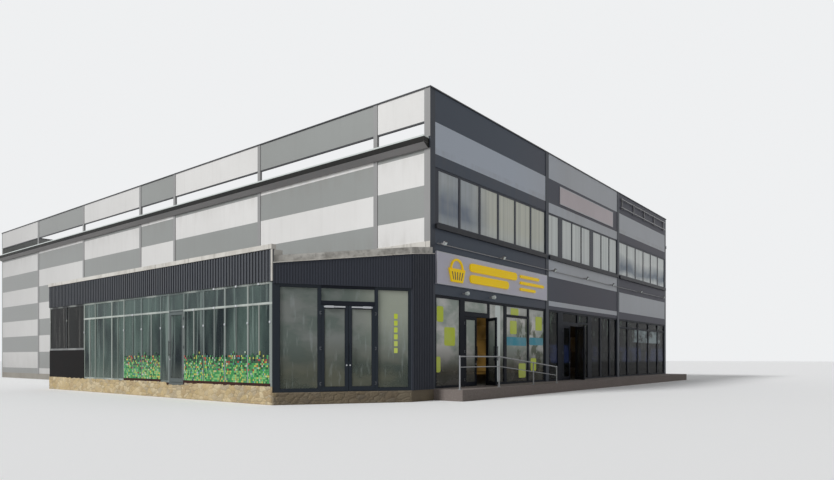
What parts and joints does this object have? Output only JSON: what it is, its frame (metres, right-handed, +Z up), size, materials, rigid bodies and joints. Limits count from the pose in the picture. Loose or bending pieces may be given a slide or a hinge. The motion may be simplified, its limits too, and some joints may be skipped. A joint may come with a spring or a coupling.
{
  "type": "two-storey supermarket building",
  "caption": "Two-storey retail hall with chequered side panels, a glazed front, a ribbed glazed lean-to and hinged glass doors.",
  "frame": {"origin": "middle of the main block's plan, at ground level", "axes": "+X along the front to the right as seen from the street, +Y from the front to the back, +Z up"},
  "size_m": [28.28, 37.5, 9.71],
  "materials": {
    "concrete": "cast, dull",
    "plinth_stone": "rubble masonry",
    "roof_sheet": "profiled sheet, matt",
    "render": "flat sheet, matt",
    "panel_light": "matt",
    "panel_grey": "matt",
    "strip": "matt",
    "gutter": "satin",
    "front_dark": "satin",
    "front_light": "matt",
    "frame_dark": "coated, satin",
    "sign_board": "satin, bare",
    "fitting": "satin",
    "sheet_pale": "satin",
    "cladding": "ribbed sheet, satin",
    "sill": "matt, worn",
    "frame_pale": "coated, matt",
    "mosaic": "small tiles",
    "hinge_steel": "satin",
    "rail_steel": "brushed",
    "upper_glass": "clear, with blinds behind",
    "glass": "clear, smooth"
  },
  "bodies": {
    "building": {"ground_slab": "concrete", "upper_floor": "concrete", "roof": "roof_sheet", "rear_wall": "render", "side_panels_light": "panel_light", "side_panels_grey": "panel_grey", "side_strips": "strip", "gutters": "gutter", "coping": "gutter", "front_posts": "front_dark", "front_panels_dark": "front_dark", "front_panels_light": "front_light", "front_ledge": "frame_dark", "upper_frames": "frame_dark", "upper_glass": "upper_glass", "shop_frames": "frame_dark", "door_heads": "frame_dark", "shop_glass": "glass", "door_hinges": "hinge_steel", "sign_boards": "sign_board", "front_fittings": "fitting", "annex_plinth": "plinth_stone", "annex_roof": "roof_sheet", "annex_trim": "sheet_pale", "annex_end_wall": "render", "kiosk_cladding": "cladding", "kiosk_frames": "frame_dark", "extension_fascia": "cladding", "extension_sill": "sill", "extension_frames": "frame_pale", "extension_door_surround": "frame_pale", "extension_glass": "glass", "extension_mosaic": "mosaic", "front_step": "concrete", "handrail": "rail_steel"},
    "entrance_left_door": {"entrance_left_leaf": "frame_dark", "entrance_left_pane": "glass"},
    "entrance_right_door": {"entrance_right_leaf": "frame_dark", "entrance_right_pane": "glass"},
    "second_left_door": {"second_left_leaf": "frame_dark", "second_left_pane": "glass"},
    "second_right_door": {"second_right_leaf": "frame_dark", "second_right_pane": "glass"},
    "kiosk_left_door": {"kiosk_left_leaf": "frame_dark", "kiosk_left_pane": "glass"},
    "kiosk_right_door": {"kiosk_right_leaf": "frame_dark", "kiosk_right_pane": "glass"},
    "extension_door": {"extension_leaf": "frame_pale", "extension_pane": "glass"}
  },
  "joints": [
    {"name": "entrance_left_swing", "type": "hinge", "parent": "building", "child": "entrance_left_door", "pos_m": [-9.837, -18.142, 0.35], "axis": [0, 0, -1], "range_deg": [0, 90]},
    {"name": "entrance_right_swing", "type": "hinge", "parent": "building", "child": "entrance_right_door", "pos_m": [-8.383, -18.142, 0.35], "axis": [0, 0, 1], "range_deg": [-57, 33]},
    {"name": "second_left_swing", "type": "hinge", "parent": "building", "child": "second_left_door", "pos_m": [-2.377, -18.142, 0.35], "axis": [0, 0, -1], "range_deg": [0, 90]},
    {"name": "second_right_swing", "type": "hinge", "parent": "building", "child": "second_right_door", "pos_m": [-0.923, -18.142, 0.35], "axis": [0, 0, 1], "range_deg": [-50, 40]},
    {"name": "kiosk_left_swing", "type": "hinge", "parent": "building", "child": "kiosk_left_door", "pos_m": [-15.0536, -16.8013, 0.35], "axis": [0, 0, -1], "range_deg": [0, 90]},
    {"name": "kiosk_right_swing", "type": "hinge", "parent": "building", "child": "kiosk_right_door", "pos_m": [-13.7469, -17.6608, 0.35], "axis": [0, 0, 1], "range_deg": [0, 90]},
    {"name": "extension_swing", "type": "hinge", "parent": "building", "child": "extension_door", "pos_m": [-16.172, -11.582, 0.51], "axis": [0, 0, 1], "range_deg": [0, 90]}
  ]
}
